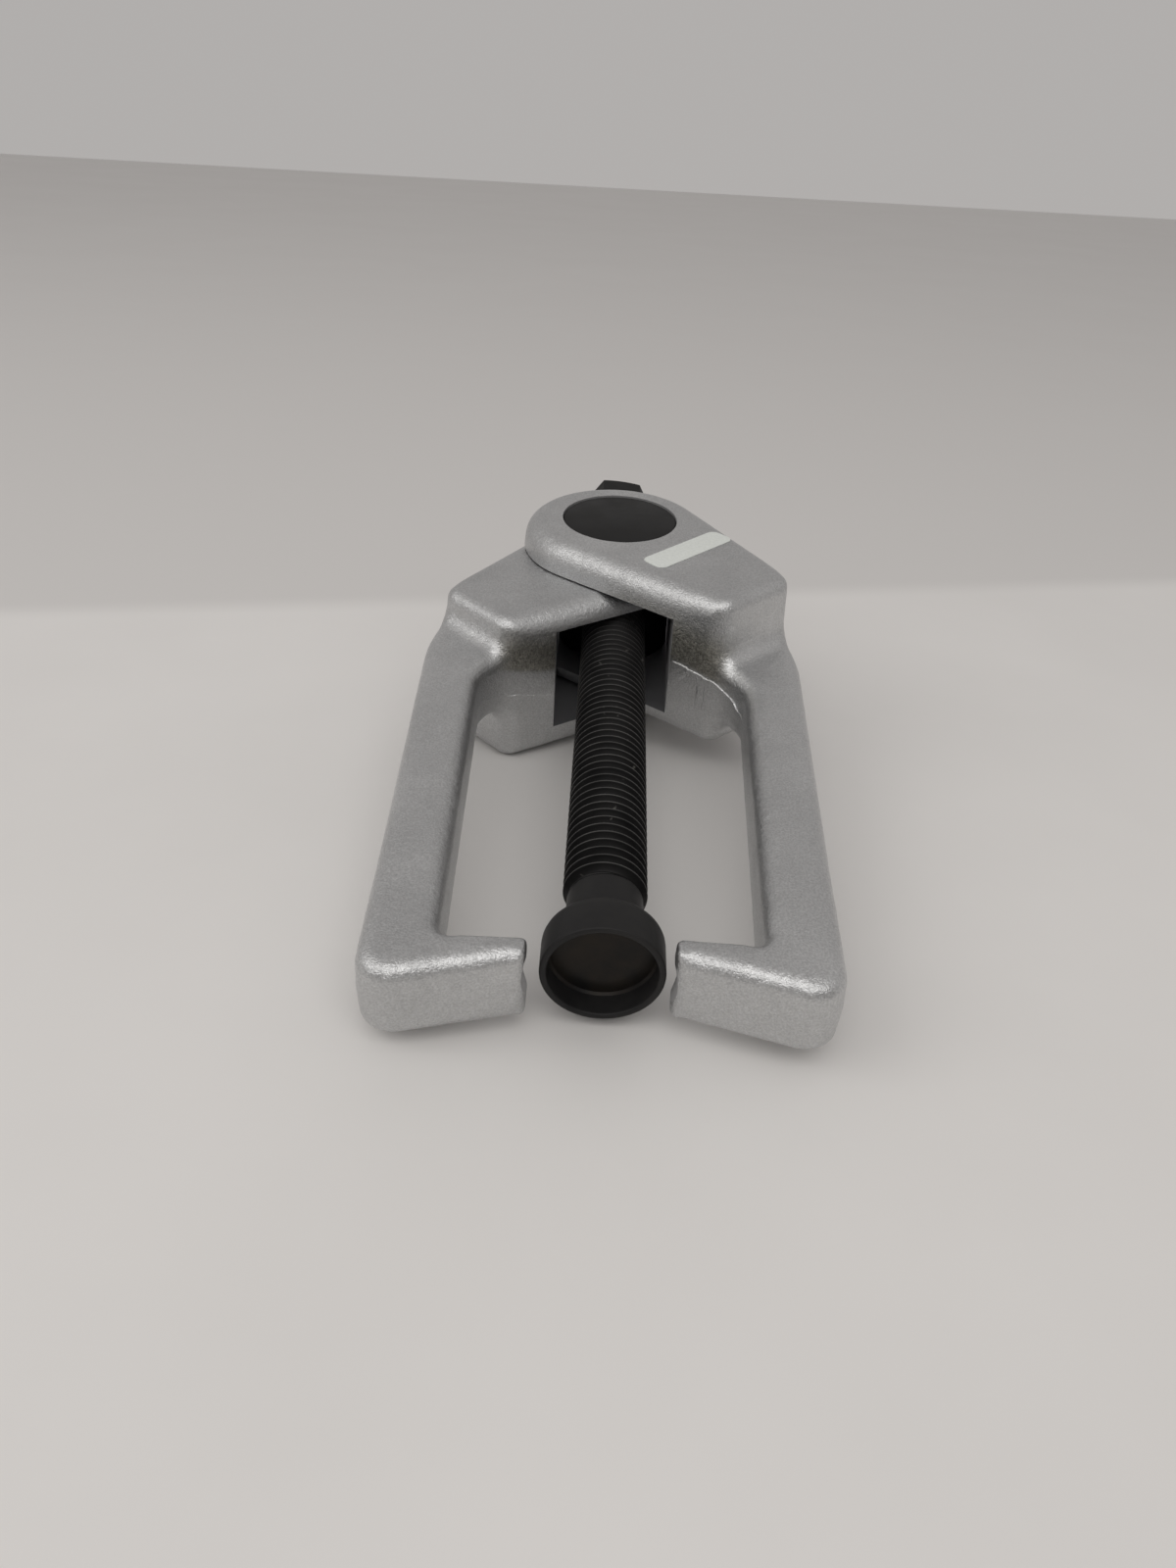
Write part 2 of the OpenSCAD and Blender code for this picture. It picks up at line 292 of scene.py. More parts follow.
def surface_net(field, low, high, step):
    """Quads on the zero surface of a field, one vertex in each cell that the surface crosses."""
    axes = [np.arange(l, h + step, step) for l, h in zip(low, high)]
    grid = np.meshgrid(*axes, indexing="ij")
    d = field(*grid)
    inside = d < 0
    n = d.shape
    corners = [(i, j, k) for i in (0, 1) for j in (0, 1) for k in (0, 1)]
    cell = tuple(m - 1 for m in n)

    def part(a, c):
        return a[c[0]:c[0] + cell[0], c[1]:c[1] + cell[1], c[2]:c[2] + cell[2]]

    total = sum(part(inside, c).astype(np.int8) for c in corners)
    active = (total > 0) & (total < 8)
    index = -np.ones(cell, dtype=np.int64)
    ijk = np.argwhere(active)
    index[active] = np.arange(len(ijk))
    points, weight = np.zeros((len(ijk), 3)), np.zeros(len(ijk))
    for a in corners:
        for axis in range(3):
            if a[axis]:
                continue
            b = tuple(1 if m == axis else a[m] for m in range(3))
            da = d[tuple((ijk + a).T)]
            db = d[tuple((ijk + b).T)]
            cross = (da < 0) != (db < 0)
            t = np.where(cross, da / np.where(cross, da - db, 1), 0)
            p = ijk + np.array(a, float)
            p[:, axis] += t
            points[cross] += p[cross]
            weight += cross
    points = points / weight[:, None] * step + np.array(low)
    # pull the vertices on to the true surface
    for _ in range(3):
        g = np.stack([(field(*(points + e).T) - field(*(points - e).T)) / 0.04
                      for e in np.eye(3) * 0.02], axis=1)
        value = field(*points.T)
        move = value[:, None] * g / np.maximum((g * g).sum(1), 1e-3)[:, None]
        points -= np.clip(move, -0.3 * step, 0.3 * step)
    faces = []
    for axis in range(3):
        o1, o2 = [m for m in range(3) if m != axis]
        a = inside[tuple(slice(0, -1) if m == axis else slice(1, -1) for m in range(3))]
        b = inside[tuple(slice(1, None) if m == axis else slice(1, -1) for m in range(3))]
        where = np.argwhere(a != b)
        flips = a[tuple(where.T)]
        base = where.copy()
        base[:, o1] += 1
        base[:, o2] += 1

        def at(d1, d2):
            q = base.copy()
            q[:, o1] += d1
            q[:, o2] += d2
            return index[tuple(q.T)]

        quad = np.stack([at(-1, -1), at(0, -1), at(0, 0), at(-1, 0)], axis=1)
        if axis == 1:
            flips = ~flips
        quad[~flips] = quad[~flips][:, ::-1]
        faces.append(quad)
    return points, np.concatenate(faces)


def roughen(points, normals, amount, scale, seed):
    """Moves points along their normals by smooth noise, like the skin of a sand casting."""
    out = points.copy()
    for i, (p, nrm) in enumerate(zip(points, normals)):
        q = Vector(p) * scale + Vector((seed, seed * 1.7, seed * 0.3))
        lump = noise.noise(q) * 0.65 + noise.noise(q * 3.1) * 0.35
        out[i] = p + nrm * lump * amount
    return out


def field_normals(field, points):
    """Outward directions of a distance field at some points."""
    g = np.stack([field(*(points + e).T) - field(*(points - e).T) for e in np.eye(3) * 0.05], axis=1)
    return g / np.maximum(np.linalg.norm(g, axis=1), 1e-9)[:, None]


def box_mesh(low, high):
    """Corners and faces of a box."""
    verts = [(x, y, z) for x in (low[0], high[0]) for y in (low[1], high[1]) for z in (low[2], high[2])]
    faces = [(0, 1, 3, 2), (4, 6, 7, 5), (0, 4, 5, 1), (2, 3, 7, 6), (0, 2, 6, 4), (1, 5, 7, 3)]
    return verts, faces


def upright(radius, low, high, centre=(0.0, 0.0), steps=160):
    """A closed cylinder along +Z."""
    ring = [(centre[0] + radius * math.cos(2 * math.pi * i / steps),
             centre[1] + radius * math.sin(2 * math.pi * i / steps)) for i in range(steps)]
    verts = [(x, y, low) for x, y in ring] + [(x, y, high) for x, y in ring]
    faces = [tuple(range(steps))[::-1], tuple(range(steps, 2 * steps))]
    faces += [(i, (i + 1) % steps, steps + (i + 1) % steps, steps + i) for i in range(steps)]
    return verts, faces


def lengthwise(radius, low, high, centre=(0.0, 0.0), steps=160):
    """A closed cylinder along +Y."""
    verts, faces = upright(radius, low, high, (0, 0), steps)
    return [(x + centre[0], z, -y + centre[1]) for x, y, z in verts], faces


def cut(obj, verts, faces):
    """Takes a tool shape, given in the object's own axes, out of it and bakes the result."""
    tool = new_object("tool", mesh_from("tool", verts, faces, Matrix()))
    finish_mesh(tool.data)
    mod = obj.modifiers.new("cut", "BOOLEAN")
    mod.operation, mod.solver, mod.object = "DIFFERENCE", "MANIFOLD", tool
    bpy.context.view_layer.update()
    baked = bpy.data.meshes.new_from_object(obj.evaluated_get(bpy.context.evaluated_depsgraph_get()))
    baked.materials.clear()
    obj.modifiers.clear()
    old, obj.data = obj.data, baked
    bpy.data.meshes.remove(old)
    bpy.data.objects.remove(tool, do_unlink=True)


def scoop_centre(side):
    """Centre of the hollow across the hook's end, level with the cup once the bar is set."""
    return HOOK_END + SCOOP_DEPTH - SCOOP_R, 0.0 if side > 0 else -bar_set(HOOK_BACK)


def is_milled(centre, normal, scoop):
    """True for a face that a cutter made: slot, relief, bore or the hollow in the hook."""
    x, y, z = (c / MM for c in centre)
    r = math.hypot(x, y)
    if abs(r - BORE_R) < ON_CUT:
        return True
    if abs(x - SLOT_WALL) < ON_LEVEL and SLOT_LOW - 0.1 < z < SLOT_TOP + 0.1:
        return True
    if any(abs(z - level) < ON_LEVEL for level in (SLOT_LOW, SLOT_TOP, RELIEF_LOW)):
        return r < RELIEF_R + 30 and y > SLOT_FRONT - 4 and abs(normal[2]) > 0.9
    if abs(r - RELIEF_R) < ON_CUT and RELIEF_LOW - 0.1 < z < SLOT_TOP + 0.1:
        return True
    return y < HOOK_BACK + 3 and abs(math.hypot(x - scoop[0], z - scoop[1]) - SCOOP_R) < ON_CUT


def jaw_mesh(name, step, seed, burrs, side):
    """One jaw in its own axes: the casting from the field, then machined, then its burrs.
    side is 1 for the jaw whose own +Z points up, -1 for the one turned over."""
    points, faces = surface_net(casting_field, JAW_LOW, JAW_HIGH, step)
    points = roughen(points, field_normals(casting_field, points), amount=0.07, scale=0.22, seed=seed)
    obj = new_object(name, mesh_from(name, points, faces.tolist(), Matrix()))
    cut(obj, *box_mesh((-60, -80, SLOT_LOW), (SLOT_WALL, 60, SLOT_TOP)))
    cut(obj, *upright(RELIEF_R, RELIEF_LOW, SLOT_TOP))
    cut(obj, *upright(BORE_R, -40, 40))
    scoop = scoop_centre(side)
    cut(obj, *lengthwise(SCOOP_R, -160, -125, scoop))
    mesh = obj.data
    bpy.data.objects.remove(obj, do_unlink=True)
    # Painted shade: a share for each vertex that the shader turns into a dark grainy brown on the hub's inner
    # walls.
    rough = [painted_shade_share(v.co / MM, v.normal, side) for v in mesh.vertices]
    mesh.attributes.new("painted_shade", "FLOAT", "POINT").data.foreach_set("value", rough)
    add_shapes(mesh, burrs)
    finish_mesh(mesh, 34.0)
    for poly in mesh.polygons:
        poly.material_index = 1 if is_milled(poly.center, poly.normal, scoop) else 0
    if side < 0:
        for v in mesh.vertices:
            v.co.z += bar_set(v.co.y / MM) * MM
    return mesh


def painted_shade_share(point, normal, side):
    """How much painted shade the skin takes, dark and grainy: 1 on the hub's inner walls above the parting line.
    """
    u = (point.x - point.y) * math.cos(LUG_LEAN)
    height = side * (point.z - float(parting_height(u)))
    start, end = (0.0, 14.0) if side > 0 else (6.0, 19.0)
    above = smoothstep(height, start - 0.2, start + 1.2) * (1 - smoothstep(height, end - 8.0, end))
    steep = smoothstep(1 - abs(normal.z), 0.2, 0.7)
    inward = smoothstep(-normal.y, 0.0, 0.45)
    inside = 1 - smoothstep(point.x, 24.0, 32.0)
    along = smoothstep(u, 14.0, 26.0) * (1 - smoothstep(u, 48.0, 60.0))
    return float(above * steep * inward * along * inside)


def bar_set(y):
    """How far a point of the left jaw is moved by the set of its bar, in mm."""
    d = SET_FROM + SET_EASE - y
    if d <= 0:
        return 0.0
    return LEFT_SET * (d * d / (4 * SET_EASE) if d < 2 * SET_EASE else d - SET_EASE)


def walk_outline(start, height_at, count, stride=0.35):
    """Steps along the casting's side, clockwise seen from above, from a point near it.
    height_at gives the height for each step's distance along the lug."""
    here, route = np.array(start, float), []
    for _ in range(count):
        u = (here[0] - here[1]) * math.cos(LUG_LEAN)
        z = height_at(u)
        for _ in range(4):
            slope = field_normals(casting_field, np.array([[here[0], here[1], z]]))[0]
            flat = slope[:2] / max(np.hypot(*slope[:2]), 1e-6)
            here = here - flat * casting_field(np.array(here[0]), np.array(here[1]), np.array(z))
        route.append((Vector((here[0], here[1], z)), Vector((flat[0], flat[1], 0))))
        here = here + stride * np.array([-flat[1], flat[0]])
    return route


def ridge(route, across, width, height, seed):
    """A thin jagged burr standing on a surface: route gives points and outward directions."""
    verts, faces = [], []
    for i, (point, out) in enumerate(route):
        wave = noise.noise(Vector((i * 0.43, seed, 0.0)))
        fade = min(1.0, (i + 1) / 4, (len(route) - i) / 14)
        side = across * (width * (0.75 + 0.5 * wave) * fade + 0.01)
        top = out * (height * (0.7 + 0.6 * noise.noise(Vector((i * 0.91, seed, 5.0)))) * fade)
        shift = across * 0.25 * wave
        foot = point - out * 0.12 + shift
        verts += [foot - side, point + top + shift * 1.5, foot + side]
        if i:
            a, b = 3 * i - 3, 3 * i
            faces += [(a + j, a + (j + 1) % 3, b + (j + 1) % 3, b + j) for j in range(3)]
    faces += [(0, 2, 1), (len(verts) - 3, len(verts) - 2, len(verts) - 1)]
    return [tuple(v) for v in verts], faces


def flash_line(height):
    """What is left of the die flash on the parting line, from the slot round into the bar."""
    def wander(u):
        jag = noise.noise(Vector((u * 0.35, 2.0, 0.0))) * 0.5
        return parting_height(u) + jag
    route = walk_outline((SLOT_WALL + 0.15, SLOT_FRONT), wander, 70)
    return ridge(route, Vector((0, 0, 1)), 0.26, height, 3.0)


def scratch(offset, length, seed):
    """A fine upright burr in the face under the flash."""
    top = walk_outline((SLOT_WALL + offset, SLOT_FRONT - offset), lambda u: 2.6, 1)[0]
    route = [(top[0] + Vector((0, 0, -0.5 * i)), top[1]) for i in range(int(length / 0.5))]
    along = Vector((-top[1].y, top[1].x, 0))
    return ridge(route, along, 0.12, 0.1, seed)


def add_shapes(mesh, shapes):
    """Adds closed shapes, in millimetres, to a mesh as further shells."""
    bm = bmesh.new()
    bm.from_mesh(mesh)
    for verts, faces in shapes:
        made = [bm.verts.new([c * MM for c in v]) for v in verts]
        for face in faces:
            bm.faces.new([made[k] for k in face])
    bm.to_mesh(mesh)
    bm.free()


# ---------------------------------------------------------------- materials
# The floor darkens behind this line: how far, in metres, from where the hub touches it, and its turn
BACK_LINE = 0.106
BACK_TURN = math.radians(12.6)


def nodes_of(name):
    """A new node material, its tree and its Principled shader."""
    mat = bpy.data.materials.new(name)
    mat.use_nodes = True
    tree = mat.node_tree
    tree.nodes.clear()
    out = tree.nodes.new("ShaderNodeOutputMaterial")
    bsdf = tree.nodes.new("ShaderNodeBsdfPrincipled")
    tree.links.new(bsdf.outputs[0], out.inputs[0])
    return mat, tree, bsdf


def add(tree, kind, **values):
    """Adds a node; values name its properties or input sockets."""
    node = tree.nodes.new(kind)
    for key, value in values.items():
        if hasattr(node, key):
            setattr(node, key, value)
        else:
            node.inputs[key.replace("_", " ")].default_value = value
    return node


def place(tree):
    """Object coordinates, in metres."""
    return add(tree, "ShaderNodeTexCoord").outputs["Object"]


def grain(tree, where, scale, detail=3.0, rough=0.55):
    """Noise over a position."""
    node = add(tree, "ShaderNodeTexNoise", Scale=scale, Detail=detail, Roughness=rough)
    tree.links.new(where, node.inputs["Vector"])
    return node.outputs["Fac"]


def ramp(tree, fac, stops):
    """A colour ramp; stops are (position, grey or colour)."""
    node = add(tree, "ShaderNodeValToRGB")
    ends = node.color_ramp.elements
    while len(ends) < len(stops):
        ends.new(0.5)
    for end, (pos, tone) in zip(ends, stops):
        end.position = pos
        tone = (tone, tone, tone) if isinstance(tone, (int, float)) else tone
        end.color = (*tone, 1.0)
    tree.links.new(fac, node.inputs[0])
    return node.outputs[0]


def mix(tree, fac, a, b, mode="MIX"):
    """Blends two colours; each input is a socket, a number or a colour."""
    node = add(tree, "ShaderNodeMix", data_type="RGBA", blend_type=mode)
    for socket, value in ((node.inputs[0], fac), (node.inputs[6], a), (node.inputs[7], b)):
        if isinstance(value, bpy.types.NodeSocket):
            tree.links.new(value, socket)
        elif isinstance(value, (int, float)):
            socket.default_value = value
        else:
            socket.default_value = (*value, 1.0)
    return node.outputs[2]


def bump(tree, height, strength, distance, under=None):
    """A bump from a height, on top of another bump where one is given."""
    node = add(tree, "ShaderNodeBump", Strength=strength, Distance=distance)
    tree.links.new(height, node.inputs["Height"])
    if under is not None:
        tree.links.new(under, node.inputs["Normal"])
    return node.outputs[0]


def cast_silver():
    """Satin silver paint over sand-cast steel: fine sparkling grain and faint cloudy patches."""
    mat, tree, bsdf = nodes_of("silver_cast_paint")
    at = place(tree)
    clouds = grain(tree, at, 55.0, 4.0)
    fine = grain(tree, at, 2600.0, 2.0, 0.6)
    lumps = grain(tree, at, 750.0, 3.0, 0.6)
    base = ramp(tree, clouds, [(0.3, (0.55, 0.555, 0.56)), (0.7, (0.65, 0.655, 0.66))])
    flecks = ramp(tree, fine, [(0.35, 0.84), (0.7, 1.1)])
    painted = mix(tree, 1.0, base, flecks, "MULTIPLY")
    # Painted shade: where the vertex share is set, the paint gives way to a dark, grainy brown tone.
    painted_shade = add(tree, "ShaderNodeAttribute", attribute_name="painted_shade").outputs["Fac"]
    scale = grain(tree, at, 1700.0, 3.0, 0.7)
    painted_shade_tone = ramp(tree, scale, [(0.34, (0.24, 0.235, 0.21)), (0.68, (0.52, 0.50, 0.45))])
    tree.links.new(mix(tree, painted_shade, painted, painted_shade_tone), bsdf.inputs["Base Color"])
    shine = ramp(tree, lumps, [(0.3, 0.34), (0.75, 0.5)])
    tree.links.new(shine, bsdf.inputs["Roughness"])
    bsdf.inputs["Metallic"].default_value = 1.0
    first = bump(tree, lumps, 0.55, 0.0003)
    tree.links.new(bump(tree, fine, 0.8, 0.00016, first), bsdf.inputs["Normal"])
    return mat


def milled_steel():
    """Face left by a milling cutter and dulled with thin paint: fine parallel marks, with the walls painted paler
    and the level faces darker, as painted light and shade by facing.
    """
    mat, tree, bsdf = nodes_of("milled_face")
    at = place(tree)
    stretch = add(tree, "ShaderNodeMapping")
    stretch.inputs["Scale"].default_value = (400.0, 400.0, 5200.0)
    tree.links.new(at, stretch.inputs["Vector"])
    marks = grain(tree, stretch.outputs[0], 1.0, 2.0)
    cloud = grain(tree, at, 160.0, 3.0)
    wall = ramp(tree, cloud, [(0.3, (0.60, 0.60, 0.61)), (0.7, (0.72, 0.72, 0.73))])
    # Painted light and shade: faces that point up or down take a darker tone than the upright walls.
    apart = add(tree, "ShaderNodeSeparateXYZ")
    tree.links.new(add(tree, "ShaderNodeTexCoord").outputs["Normal"], apart.inputs[0])
    facing = add(tree, "ShaderNodeMath", operation="ABSOLUTE")
    tree.links.new(apart.outputs["Z"], facing.inputs[0])
    level = span(tree, facing.outputs[0], 0.4, 0.8)
    tree.links.new(mix(tree, level, wall, (0.30, 0.30, 0.315)), bsdf.inputs["Base Color"])
    tree.links.new(ramp(tree, marks, [(0.2, 0.32), (0.8, 0.46)]), bsdf.inputs["Roughness"])
    bsdf.inputs["Metallic"].default_value = 0.6
    tree.links.new(bump(tree, marks, 0.25, 0.00005), bsdf.inputs["Normal"])
    return mat


def from_axis(tree, at):
    """Distance from the screw's axis, in metres."""
    apart = add(tree, "ShaderNodeSeparateXYZ")
    tree.links.new(at, apart.inputs[0])
    flat = add(tree, "ShaderNodeCombineXYZ")
    tree.links.new(apart.outputs["X"], flat.inputs["X"])
    tree.links.new(apart.outputs["Z"], flat.inputs["Z"])
    length = add(tree, "ShaderNodeVectorMath", operation="LENGTH")
    tree.links.new(flat.outputs[0], length.inputs[0])
    return length.outputs["Value"]


def span(tree, value, low, high, to_low=0.0, to_high=1.0):
    """Maps a value smoothly from one range to another."""
    node = add(tree, "ShaderNodeMapRange", interpolation_type="SMOOTHSTEP")
    tree.links.new(value, node.inputs["Value"])
    for name, number in (("From Min", low), ("From Max", high), ("To Min", to_low), ("To Max", to_high)):
        node.inputs[name].default_value = number
    return node.outputs["Result"]


def black_oxide(name, tone, gloss=(0.38, 0.55), brown=0.0, wear=0.0, rub_and_glint_r=None, metal=0.35):
    """Black oxide on turned steel: mottled near-black, a little oily, paler at a thread's crests.
    rub_and_glint_r is the radius, in mm, past which a thread's crests are paler: partly rubbed wear, partly a
    painted highlight."""
    mat, tree, bsdf = nodes_of(name)
    at = place(tree)
    cloud = grain(tree, at, 120.0, 4.0)
    fine = grain(tree, at, 2200.0, 2.0)
    dark = tuple(tone * m for m in (0.75, 0.74, 0.77))
    pale = tuple(tone * m for m in (1.3 + brown, 1.26 + brown * 0.5, 1.24))
    base = ramp(tree, cloud, [(0.32, dark), (0.72, pale)])
    if wear:
        specks = ramp(tree, grain(tree, at, 480.0, 2.0), [(0.70, 0.0), (0.78, 1.0)])
        base = mix(tree, mix(tree, 1.0, specks, (wear, wear, wear), "MULTIPLY"), base, (0.3, 0.29, 0.27))
    if rub_and_glint_r:
        # Paler crests: partly rubbed wear, partly a painted highlight along the thread.
        crest = span(tree, from_axis(tree, at), (rub_and_glint_r - 0.12) * MM, rub_and_glint_r * MM)
        patchy = mix(tree, 1.0, crest, ramp(tree, cloud, [(0.3, 0.35), (0.65, 1.0)]), "MULTIPLY")
        base = mix(tree, patchy, base, (0.10, 0.098, 0.096))
    tree.links.new(base, bsdf.inputs["Base Color"])
    tree.links.new(ramp(tree, cloud, [(0.3, gloss[0]), (0.7, gloss[1])]), bsdf.inputs["Roughness"])
    bsdf.inputs["Metallic"].default_value = metal
    bsdf.inputs["Specular IOR Level"].default_value = 0.22
    tree.links.new(bump(tree, fine, 0.2, 0.00004), bsdf.inputs["Normal"])
    return mat


def paper_label():
    """Blank white paper label: soft fibres, slightly grey and cool."""
    mat, tree, bsdf = nodes_of("blank_paper")
    at = place(tree)
    fibre = grain(tree, at, 1500.0, 4.0)
    tone = ramp(tree, fibre, [(0.3, (0.70, 0.73, 0.70)), (0.7, (0.80, 0.83, 0.80))])
    tree.links.new(tone, bsdf.inputs["Base Color"])
    tree.links.new(ramp(tree, fibre, [(0.3, 0.5), (0.7, 0.68)]), bsdf.inputs["Roughness"])
    tree.links.new(bump(tree, fibre, 0.15, 0.00004), bsdf.inputs["Normal"])
    return mat


def spring_wire():
    """Dull drawn wire."""
    mat, tree, bsdf = nodes_of("spring_wire")
    lines = grain(tree, place(tree), 900.0, 3.0)
    tree.links.new(ramp(tree, lines, [(0.3, 0.22), (0.7, 0.34)]), bsdf.inputs["Base Color"])
    tree.links.new(ramp(tree, lines, [(0.3, 0.35), (0.7, 0.5)]), bsdf.inputs["Roughness"])
    bsdf.inputs["Metallic"].default_value = 0.9
    return mat


def pale_floor():
    """Pale plain floor with the faintest unevenness, a little darker behind the tool."""
    mat, tree, bsdf = nodes_of("pale_floor")
    at = place(tree)
    cloud = grain(tree, at, 9.0, 5.0)
    base = ramp(tree, cloud, [(0.3, (0.805, 0.79, 0.775)), (0.7, (0.845, 0.83, 0.815))])
    turned = add(tree, "ShaderNodeMapping")
    turned.inputs["Rotation"].default_value = (0, 0, -BACK_TURN)
    tree.links.new(at, turned.inputs["Vector"])
    apart = add(tree, "ShaderNodeSeparateXYZ")
    tree.links.new(turned.outputs[0], apart.inputs[0])
    behind = span(tree, apart.outputs["Y"], BACK_LINE - 0.004, BACK_LINE + 0.012)
    tree.links.new(mix(tree, behind, base, (0.715, 0.70, 0.688)), bsdf.inputs["Base Color"])
    tree.links.new(ramp(tree, cloud, [(0.3, 0.45), (0.7, 0.55)]), bsdf.inputs["Roughness"])
    return mat


# ---------------------------------------------------------------- the two jaws
CAST, MILLED = cast_silver(), milled_steel()


def make_jaws():
    """Both jaws are one casting; the left one is turned half round about the screw.
    The right one keeps a jagged line of flash, the left one only a trace of it."""
    step = 0.6
    swing = {node: Matrix.Rotation(math.radians(-angle), 4, "Z") for node, angle in SWING.items()}
    turn = {"right_jaw": swing["right_jaw"], "left_jaw": Matrix.Rotation(math.pi, 4, "Y") @ swing["left_jaw"]}
    burrs = {"right_jaw": [flash_line(0.45), scratch(5.2, 9.0, 1.0), scratch(6.6, 8.0, 2.0)],
             "left_jaw": [flash_line(0.13)]}
    for seed, node in enumerate(turn):
        side = 1 if node == "right_jaw" else -1
        mesh = jaw_mesh(node + "_casting", step, 3.0 + 4.0 * seed, burrs[node], side)
        mesh.transform(AT_PIN @ turn[node])
        piece = new_object(node + "_casting", mesh)
        piece.data.materials.append(CAST)
        piece.data.materials.append(MILLED)
        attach(piece, node)
        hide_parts(node)


# ---------------------------------------------------------------- forcing screw
def thread_radius(phase):
    """Radius across one pitch: narrow crest, 30 degree flanks, rounded root."""
    p = abs((phase % 1.0) - 0.5) * 2          # 0 at the root's middle, 1 at the crest's middle
    t = min(max((p - THREAD_ROOT) / (1 - THREAD_CREST - THREAD_ROOT), 0.0), 1.0)
    return SCREW_R - THREAD_DEPTH * (1 - t)


def threaded_shank(steps=56):
    """A true right-hand helix from the chamfered end to the run-out under the head."""
    phases = (0.0, 0.055, 0.2, 0.38, 0.44, 0.5, 0.56, 0.62, 0.8, 0.945)
    low, high = SCREW_END, HEAD_FRONT - 0.2
    turns = int((high - low) / PITCH) + 4
    verts, faces = [], []
    for i in range(turns * steps + 1):
        a = 2 * math.pi * i / steps
        for phase in phases:
            y = low - 2 * PITCH + PITCH * (i / steps + phase)
            r = thread_radius(phase + 0.5)
            r = min(r, ROOT_END_R + max(y - low, 0.0))
            fade = min(max((y - (high - RUN_OUT)) / RUN_OUT_L, 0.0), 1.0)
            r = max(r, SCREW_R - THREAD_DEPTH * (1 - fade))
            y = min(max(y, low), high)
            verts.append((r * math.cos(a), y, r * math.sin(a)))
    n = len(phases)
    for i in range(turns * steps):
        for j in range(n):
            if j < n - 1:
                a, b = i * n + j, i * n + j + 1
                c, d = b + n, a + n
            elif (i + 1 + steps) * n < len(verts):
                a, b = i * n + j, (i + steps) * n
                c, d = (i + 1 + steps) * n, (i + 1) * n + j
            else:
                continue
            ys = [verts[k][1] for k in (a, b, c, d)]
            if max(ys) - min(ys) > 1e-6:
                faces.append((a, b, c, d))
    return verts, faces


def hex_head(steps=16):
    """Hex head with its corners turned off at the rear, almost flat side up."""
    count = 6 * steps
    flat_r = HEAD_AF / 2 * 0.93
    verts, faces = [], []
    for i in range(count):
        a = 2 * math.pi * i / count
        across = HEAD_AF / 2 / math.cos((a % (math.pi / 3)) - math.pi / 6)
        back = HEAD_REAR - max(across - flat_r, 0) * math.tan(HEAD_CHAMFER)
        turn = a - HEAD_TURN
        outline = ((SCREW_R - 1, HEAD_FRONT), (across - 0.25, HEAD_FRONT), (across, HEAD_FRONT + 0.25),
                   (across - 0.06, back - 0.1), (across - 0.16, back), (flat_r, HEAD_REAR),
                   (flat_r - 2.2, HEAD_REAR))
        for r, y in outline:
            verts.append((r * math.cos(turn), y, r * math.sin(turn)))
    n = len(verts) // count
    for i in range(count):
        k = (i + 1) % count
        for j in range(n - 1):
            faces.append((i * n + j, k * n + j, k * n + j + 1, i * n + j + 1))
    faces.append(tuple(i * n + n - 1 for i in range(count)))
    return verts, faces


def make_screw():
    """Threaded shank, hex head and the plain stem in one piece."""
    stem = [(0, STEM_TIP), (STEM_R - 0.5, STEM_TIP), (STEM_R, STEM_TIP + 0.5), (STEM_R, GROOVE_FRONT),
            (STEM_GROOVE_R, GROOVE_FRONT), (STEM_GROOVE_R, GROOVE_BACK), (STEM_R, GROOVE_BACK),
            (STEM_R, SCREW_END), (ROOT_END_R + 0.01, SCREW_END)]
    all_v, all_f = [], []
    for v, f in (threaded_shank(), hex_head(), revolve(stem, 96)):
        base = len(all_v)
        all_v += v
        all_f += [tuple(k + base for k in face) for face in f]
    piece = new_object("threaded_screw", mesh_from("threaded_screw", all_v, all_f, AT_PIN))
    finish_mesh(piece.data, 24.0)
    thread_finish = black_oxide("screw_black_oxide", 0.010, (0.3, 0.45), wear=0.35, rub_and_glint_r=SCREW_R)
    head_finish = black_oxide("head_black_oxide", 0.009, (0.55, 0.7), metal=0.0)
    piece.data.materials.append(thread_finish)
    piece.data.materials.append(head_finish)
    for poly in piece.data.polygons:
        poly.material_index = int(poly.center.y / MM - PIN_AXIS_Y > HEAD_FRONT - 0.1)
    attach(piece, "screw")
    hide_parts("forcing_screw")


